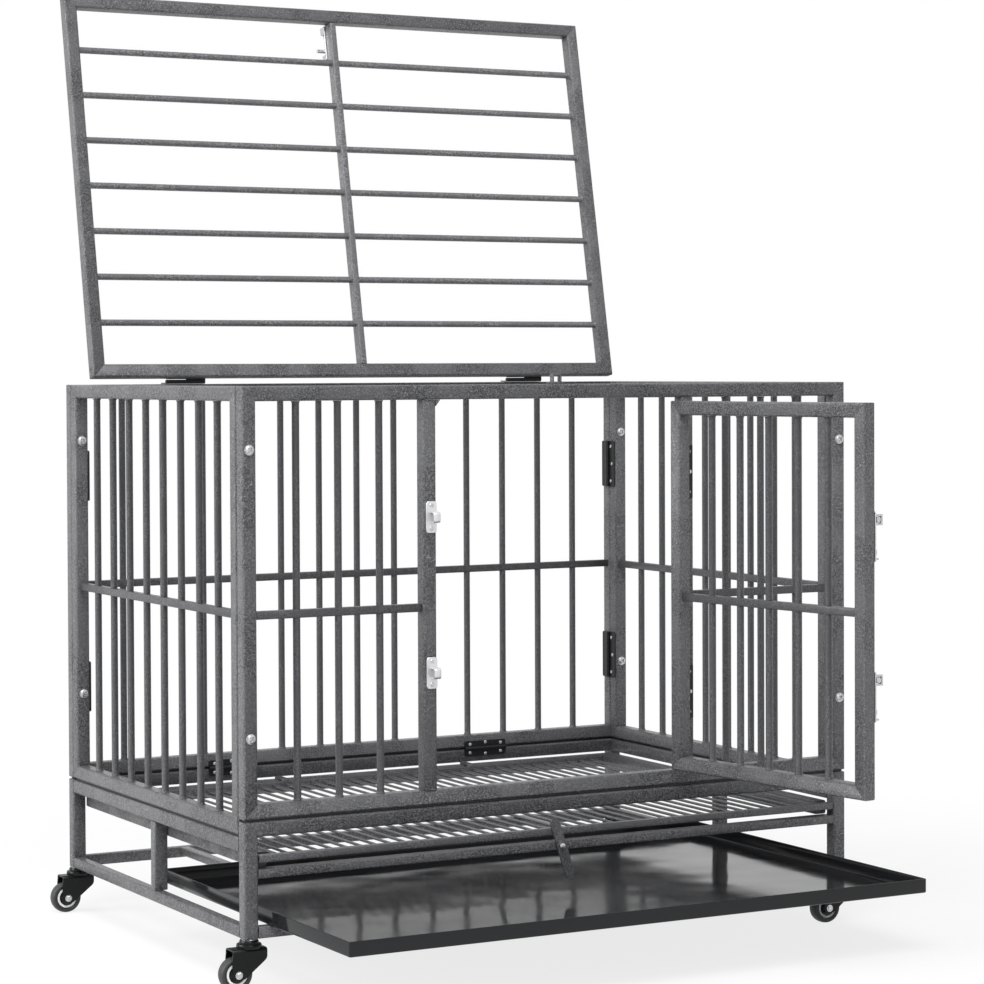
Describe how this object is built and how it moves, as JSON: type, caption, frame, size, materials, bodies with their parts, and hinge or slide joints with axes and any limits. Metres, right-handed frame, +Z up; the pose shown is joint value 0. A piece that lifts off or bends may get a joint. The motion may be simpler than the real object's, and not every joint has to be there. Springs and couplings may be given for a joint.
{
  "type": "dog crate",
  "caption": "Welded bar dog crate on swivel casters, with a front door, a lifting lid, a floor grid and a slide-out tray.",
  "frame": {"origin": "middle of the resting crate's bounding box, at the floor, with the lid and door open and the tray out", "axes": "+X along the crate's length to its right as seen from the door side, -Y towards the door side, +Z up"},
  "size_m": [1.0034, 1.1456, 1.3886],
  "materials": {
    "hammertone": "dark grey hammertone paint",
    "enamel": "gloss black",
    "black_steel": "black plated",
    "zinc": "zinc plated",
    "tyre": "grey rubber"
  },
  "bodies": {
    "cage": {"back_frame": "hammertone", "back_grille": "hammertone", "base_back": "hammertone", "base_feet": "hammertone", "base_front": "hammertone", "base_hinge_left": "black_steel", "base_hinge_right": "black_steel", "base_left": "hammertone", "base_right": "hammertone", "corner_hinge_left_lower": "black_steel", "corner_hinge_left_upper": "black_steel", "corner_hinge_right_lower": "black_steel", "corner_hinge_right_upper": "black_steel", "door_hinge_lower_post": "black_steel", "door_hinge_upper_post": "black_steel", "floor_grid": "hammertone", "front_frame": "hammertone", "front_grille_left": "hammertone", "front_grille_right": "hammertone", "latch_lower_keeper": "zinc", "latch_upper_keeper": "zinc", "ledge": "hammertone", "left_frame": "hammertone", "left_grille": "hammertone", "lid_hinge_left_rail": "black_steel", "lid_hinge_right_rail": "black_steel", "lid_latch_loop": "zinc", "right_frame": "hammertone", "right_grille": "hammertone"},
    "door": {"door_frame": "hammertone", "door_grille": "hammertone", "door_hinge_lower_door": "black_steel", "door_hinge_upper_door": "black_steel", "latch_lower_housing": "zinc", "latch_upper_housing": "zinc"},
    "bolt_lower": {"latch_lower_bolt": "zinc"},
    "bolt_upper": {"latch_upper_bolt": "zinc"},
    "lid": {"lid_frame": "hammertone", "lid_bars": "hammertone", "lid_hinge_left_lid": "black_steel", "lid_hinge_right_lid": "black_steel", "lid_latch_housing": "zinc"},
    "lid_bolt": {"lid_latch_bolt": "zinc"},
    "tray": {"tray": "enamel"},
    "retainer": {"retainer": "hammertone"},
    "caster_front_left": {"caster_front_left_fork": "black_steel"},
    "wheel_front_left": {"caster_front_left_wheel": "tyre"},
    "caster_front_right": {"caster_front_right_fork": "black_steel"},
    "wheel_front_right": {"caster_front_right_wheel": "tyre"},
    "caster_back_left": {"caster_back_left_fork": "black_steel"},
    "wheel_back_left": {"caster_back_left_wheel": "tyre"},
    "caster_back_right": {"caster_back_right_fork": "black_steel"},
    "wheel_back_right": {"caster_back_right_wheel": "tyre"}
  },
  "joints": [
    {"name": "lid_hinge", "type": "hinge", "parent": "cage", "child": "lid", "pos_m": [0.01075, 0.44837, 0.79625], "axis": [1, 0, 0], "range_deg": [0, 101.3]},
    {"name": "door_hinge", "type": "hinge", "parent": "cage", "child": "door", "pos_m": [0.20675, -0.18678, 0], "axis": [0, 0, 1], "range_deg": [-98.8, 75]},
    {"name": "latch_lower_slide", "type": "slide", "parent": "door", "child": "bolt_lower", "axis": [0.153, -0.9882, 0], "range_m": [0, 0.009]},
    {"name": "latch_upper_slide", "type": "slide", "parent": "door", "child": "bolt_upper", "axis": [0.153, -0.9882, 0], "range_m": [0, 0.009]},
    {"name": "lid_latch_slide", "type": "slide", "parent": "lid", "child": "lid_bolt", "axis": [0, 0.1959, 0.9806], "range_m": [0, 0.024]},
    {"name": "tray_slide", "type": "slide", "parent": "cage", "child": "tray", "axis": [0, 1, 0], "range_m": [-0.06, 0.256]},
    {"name": "retainer_pivot", "type": "hinge", "parent": "cage", "child": "retainer", "pos_m": [0.00875, -0.18353, 0.152], "axis": [0, 1, 0], "continuous": true},
    {"name": "swivel_front_left", "type": "hinge", "parent": "cage", "child": "caster_front_left", "pos_m": [-0.45925, -0.17323, 0.06], "axis": [0, 0, 1], "continuous": true},
    {"name": "roll_front_left", "type": "hinge", "parent": "caster_front_left", "child": "wheel_front_left", "pos_m": [-0.47925, -0.17323, 0.0225], "axis": [0, 1, 0], "continuous": true},
    {"name": "swivel_front_right", "type": "hinge", "parent": "cage", "child": "caster_front_right", "pos_m": [0.48075, -0.17323, 0.06], "axis": [0, 0, 1], "continuous": true},
    {"name": "roll_front_right", "type": "hinge", "parent": "caster_front_right", "child": "wheel_front_right", "pos_m": [0.46075, -0.17323, 0.0225], "axis": [0, 1, 0], "continuous": true},
    {"name": "swivel_back_left", "type": "hinge", "parent": "cage", "child": "caster_back_left", "pos_m": [-0.45925, 0.46177, 0.06], "axis": [0, 0, 1], "continuous": true},
    {"name": "roll_back_left", "type": "hinge", "parent": "caster_back_left", "child": "wheel_back_left", "pos_m": [-0.47925, 0.46177, 0.0225], "axis": [0, 1, 0], "continuous": true},
    {"name": "swivel_back_right", "type": "hinge", "parent": "cage", "child": "caster_back_right", "pos_m": [0.48075, 0.46177, 0.06], "axis": [0, 0, 1], "continuous": true},
    {"name": "roll_back_right", "type": "hinge", "parent": "caster_back_right", "child": "wheel_back_right", "pos_m": [0.46075, 0.46177, 0.0225], "axis": [0, 1, 0], "continuous": true}
  ]
}
